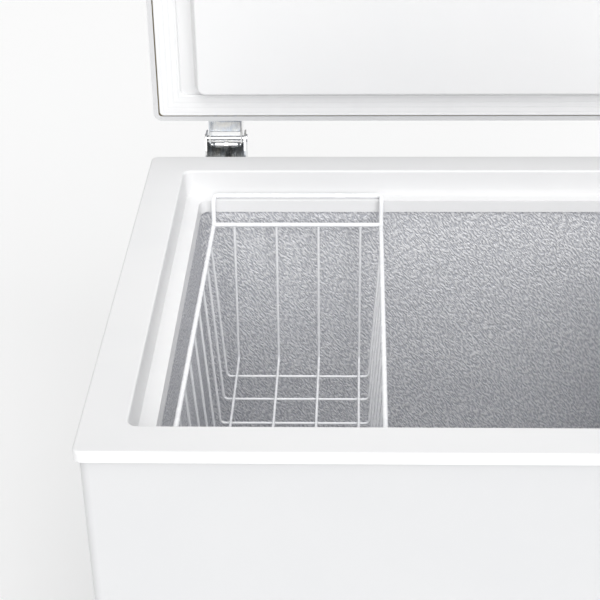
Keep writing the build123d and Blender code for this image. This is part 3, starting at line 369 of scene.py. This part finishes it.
white_paint = sprayed_enamel("white_enamel", (0.64, 0.643, 0.65), (0.625, 0.63, 0.64))
black_paint = sprayed_enamel("black_enamel", (0.035, 0.035, 0.037), (0.02, 0.02, 0.022), 0.34, 0.00009)
white_moulding = moulded_plastic("white_moulding", (0.81, 0.81, 0.812), (0.795, 0.797, 0.803))
grey_moulding = moulded_plastic("grey_moulding", (0.36, 0.37, 0.39), (0.31, 0.32, 0.34), 0.45, 0.00007, 900)
black_moulding = moulded_plastic("black_moulding", (0.05, 0.05, 0.052), (0.035, 0.035, 0.037),
                                 0.5, 0.00008, 900)
wall_emboss = embossed_sheet("embossed_walls", "XY", "Z")
floor_emboss = embossed_sheet("embossed_floor", "XZ", "Y")
galvanised = galvanised_sheet("galvanised_sheet")
zinc_plate = plated_steel("zinc_plate")
polished_pin = turned_steel("polished_steel")
dark_spring = spring_wire("spring_wire")
aluminium_tube = drawn_tube("aluminium_tube", (0.58, 0.58, 0.59), (0.76, 0.76, 0.77))
copper_tube = drawn_tube("copper_tube", (0.62, 0.31, 0.18), (0.85, 0.48, 0.31), (0.26, 0.13, 0.08))
white_wire = dipped_wire("white_coated_wire")
white_gasket = grooved_vinyl("white_gasket", gasket_low, gasket_high, groove_pitch=0.0058)
grey_rubber = soft_vinyl("grey_rubber", (0.2, 0.205, 0.21), (0.15, 0.155, 0.16), 0.62)
foam = rigid_foam("poured_foam")
lenses = signal_lens("signal_lenses", (lens_low.x + lens_high.x) / 2)

finish_of_slot = {
    "painted_steel": white_paint, "galvanised_steel": galvanised, "zinc_plated_steel": zinc_plate,
    "white_plastic": white_moulding, "grey_plastic": grey_moulding, "black_plastic": black_moulding,
    "embossed_aluminium": wall_emboss, "aluminium_tube": aluminium_tube, "copper": copper_tube,
    "coated_wire": white_wire, "soft_gasket": white_gasket, "rubber_grey": grey_rubber,
    "insulating_foam": foam, "black_paint": black_paint, "spring_steel": dark_spring,
    "signal_lens": lenses}
finish_of_node = {
    "tank_floor": floor_emboss, "hinge_pin_left": polished_pin, "hinge_pin_right": polished_pin,
    "spring_bar_left": polished_pin, "spring_bar_right": polished_pin,
    "spring_rod_left": polished_pin, "spring_rod_right": polished_pin}

for part in frame["record"]["subparts"]:
    name = part["node"]
    material = finish_of_node.get(name, finish_of_slot[part["material_slot"]])
    for material_slot in nodes[name].material_slots:
        material_slot.material = material


# ---- pieces added to the frame -----------------------------------------------

def add_piece(name, mesh_source, material, body, smooth=True):
    """Turns a finished bmesh into an object that rides on a body."""
    mesh = bpy.data.meshes.new(name)
    mesh_source.to_mesh(mesh)
    mesh_source.free()
    mesh.materials.append(material)
    for face in mesh.polygons:
        face.use_smooth = smooth
    piece = bpy.data.objects.new(name, mesh)
    bpy.context.scene.collection.objects.link(piece)
    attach(piece, body)
    return piece


def blob(source, place, half_sizes):
    """A small rounded lump at a place."""
    matrix = Matrix.Translation(place) @ Matrix.Diagonal((*half_sizes, 1.0))
    bmesh.ops.create_icosphere(source, subdivisions=1, radius=1.0, matrix=matrix)


def gathered(node, test, apart=0.02):
    """Middles of the groups of a node's points that pass a test, told apart along X."""
    points = sorted((v.co.copy() for v in nodes[node].data.vertices if test(v.co)), key=lambda p: p.x)
    groups = [[points[0]]]
    for point in points[1:]:
        if point.x - groups[-1][-1].x > apart:
            groups.append([])
        groups[-1].append(point)
    return [sum(group, Vector()) / len(group) for group in groups]


def add_basket_welds():
    """Spot welds of the basket, under its coat: floor crossings, and wire ends under the rails."""
    thin_wire = 0.0014
    cross_count = 8
    end_band = 0.0006
    crossing_weld = (0.0021, 0.0021, 0.0017)
    cross_end_weld = (0.0022, 0.0024, 0.0012)
    long_end_weld = (0.0024, 0.0022, 0.0012)
    middle_y = (long_low.y + long_high.y) / 2
    rear_ends = gathered("basket_long_wires", lambda p: p.z > long_high.z - end_band and p.y > middle_y)
    front_ends = gathered("basket_long_wires", lambda p: p.z > long_high.z - end_band and p.y < middle_y)
    cross_step = (cross_high.y - cross_low.y - 2 * thin_wire) / (cross_count - 1)
    welds = bmesh.new()
    for i in range(cross_count):
        y = cross_high.y - thin_wire - i * cross_step
        for rear, front in zip(rear_ends, front_ends):
            crossing = rear.lerp(front, (rear.y - y) / (rear.y - front.y))
            blob(welds, (crossing.x, y, cross_low.z + 2 * thin_wire), crossing_weld)
        rail_ends = gathered("basket_cross_wires",
                             lambda p: p.z > cross_high.z - end_band and abs(p.y - y) < 2 * thin_wire)
        for end in rail_ends:
            blob(welds, end, cross_end_weld)
    for end in rear_ends + front_ends:
        blob(welds, end, long_end_weld)
    add_piece("basket_welds", welds, white_wire, "basket")


def add_foam_hole_caps():
    """Two moulded caps that close the holes the foam was poured through, in the rear panel."""
    hole_places = ((-0.17, 0.45), (0.17, 0.62))
    radius = 0.013
    height = 0.0022
    edge_round = 0.0006
    rim_width = 0.003
    dish_run = 0.0008
    dish_depth = 0.0006
    back = panel_high.y
    face_back = Matrix.Rotation(math.radians(-90), 4, "X")
    caps = bmesh.new()
    for x, z in hole_places:
        place = Matrix.Translation((x, back + height / 2, z)) @ face_back
        bmesh.ops.create_cone(caps, cap_ends=True, segments=40, radius1=radius, radius2=radius * 0.86,
                              depth=height, matrix=place)
    outer_edges = [edge for edge in caps.edges if all(v.co.y > back + height * 0.9 for v in edge.verts)]
    bmesh.ops.bevel(caps, geom=outer_edges, offset=edge_round, segments=2, profile=0.5, affect="EDGES",
                    material=-1)
    dished = [face for face in caps.faces if len(face.verts) > 20 and face.calc_center_median().y > back]
    bmesh.ops.inset_region(caps, faces=dished, thickness=rim_width, depth=0.0, use_even_offset=True)
    bmesh.ops.inset_region(caps, faces=dished, thickness=dish_run, depth=-dish_depth, use_even_offset=True)
    bmesh.ops.recalc_face_normals(caps, faces=caps.faces)
    add_piece("foam_hole_caps", caps, white_moulding, "cabinet", smooth=False)


def solid_digit(number, height, thickness):
    """One numeral as a thin flat solid."""
    writing = bpy.data.curves.new("digit", "FONT")
    writing.body = str(number)
    writing.size = height
    writing.align_x = "CENTER"
    writing.align_y = "CENTER"
    writing.extrude = thickness / 2
    lettering = bpy.data.objects.new("digit", writing)
    bpy.context.scene.collection.objects.link(lettering)
    bpy.context.view_layer.update()
    drawn = lettering.evaluated_get(bpy.context.evaluated_depsgraph_get())
    solid = bpy.data.meshes.new_from_object(drawn)
    bpy.data.objects.remove(lettering)
    bpy.data.curves.remove(writing)
    return solid


def add_dial_numbers():
    """Numbers 0 to 6 printed on the bezel, clockwise round the thermostat's knob."""
    digit_height = 0.0042
    digit_ring = 0.0285
    ink_thickness = 0.00012
    first_angle = 210.0
    angle_step = 40.0
    merge_distance = 0.00001
    centre = (knob_low + knob_high) / 2
    upright = Matrix.Rotation(math.radians(90), 4, "X")
    digits = bmesh.new()
    for number in range(7):
        solid = solid_digit(number, digit_height, ink_thickness)
        angle = math.radians(first_angle - number * angle_step)
        place = Vector((centre.x + digit_ring * math.cos(angle), bezel_low.y,
                        centre.z + digit_ring * math.sin(angle)))
        solid.transform(Matrix.Translation(place) @ upright)
        digits.from_mesh(solid)
        bpy.data.meshes.remove(solid)
    bmesh.ops.remove_doubles(digits, verts=digits.verts, dist=merge_distance)
    bmesh.ops.recalc_face_normals(digits, faces=digits.faces)
    add_piece("dial_numbers", digits, black_moulding, "cabinet", smooth=False)


add_basket_welds()
add_foam_hole_caps()
add_dial_numbers()


# ---- floor, light and camera -------------------------------------------------

def lay_floor(half_size):
    """A wide pale floor with a barely cloudy paint."""
    grid = bmesh.new()
    bmesh.ops.create_grid(grid, x_segments=1, y_segments=1, size=half_size)
    sheet = bpy.data.meshes.new("studio_floor")
    grid.to_mesh(sheet)
    grid.free()
    studio_floor = bpy.data.objects.new("studio_floor", sheet)
    bpy.context.scene.collection.objects.link(studio_floor)
    paint = Finish("studio_floor_paint", (0.97, 0.97, 0.97), 0.6)
    clouds = paint.noise(paint.place(), 1.5, detail=3)
    paint.tint(clouds, (0.965, 0.965, 0.965), (0.975, 0.975, 0.975))
    sheet.materials.append(paint.material)


def light_air(strength):
    """Even white light from all round."""
    world = bpy.data.worlds.new("studio_air")
    bpy.context.scene.world = world
    world.use_nodes = True
    background = world.node_tree.nodes["Background"]
    background.inputs["Color"].default_value = (1.0, 1.0, 1.0, 1.0)
    background.inputs["Strength"].default_value = strength


def soft_sun(name, strength, spread_degrees, tilt, turn):
    """A broad even light; tilt leans it away from overhead and turn swings it round."""
    light = bpy.data.lights.new(name, "SUN")
    light.energy = strength
    light.angle = math.radians(spread_degrees)
    lamp = bpy.data.objects.new(name, light)
    lamp.rotation_euler = Euler((math.radians(tilt), 0, math.radians(turn)))
    bpy.context.scene.collection.objects.link(lamp)


def place_camera():
    """Stands off the collar's front left corner and looks down into the tank."""
    eye_from_corner = Vector((0.2083, -0.8938, 0.6539))
    heading = 1.75
    rise_from_straight_down = 60.0
    roll = -0.75
    data = bpy.data.cameras.new("camera")
    data.sensor_width = 36.0
    data.lens = 85.04
    data.clip_end = 60.0
    camera = bpy.data.objects.new("camera", data)
    eye = Vector((collar_low.x, collar_low.y, collar_high.z)) + eye_from_corner
    camera.matrix_world = (Matrix.Translation(eye) @ Matrix.Rotation(math.radians(heading), 4, "Z")
                           @ Matrix.Rotation(math.radians(rise_from_straight_down), 4, "X")
                           @ Matrix.Rotation(math.radians(roll), 4, "Z"))
    bpy.context.scene.collection.objects.link(camera)
    bpy.context.scene.camera = camera


lay_floor(half_size=30.0)
light_air(strength=0.34)
soft_sun("front_light", strength=2.05, spread_degrees=58, tilt=63, turn=14)
soft_sun("top_light", strength=1.35, spread_degrees=70, tilt=10, turn=20)
place_camera()
bpy.context.scene.view_settings.view_transform = "Standard"
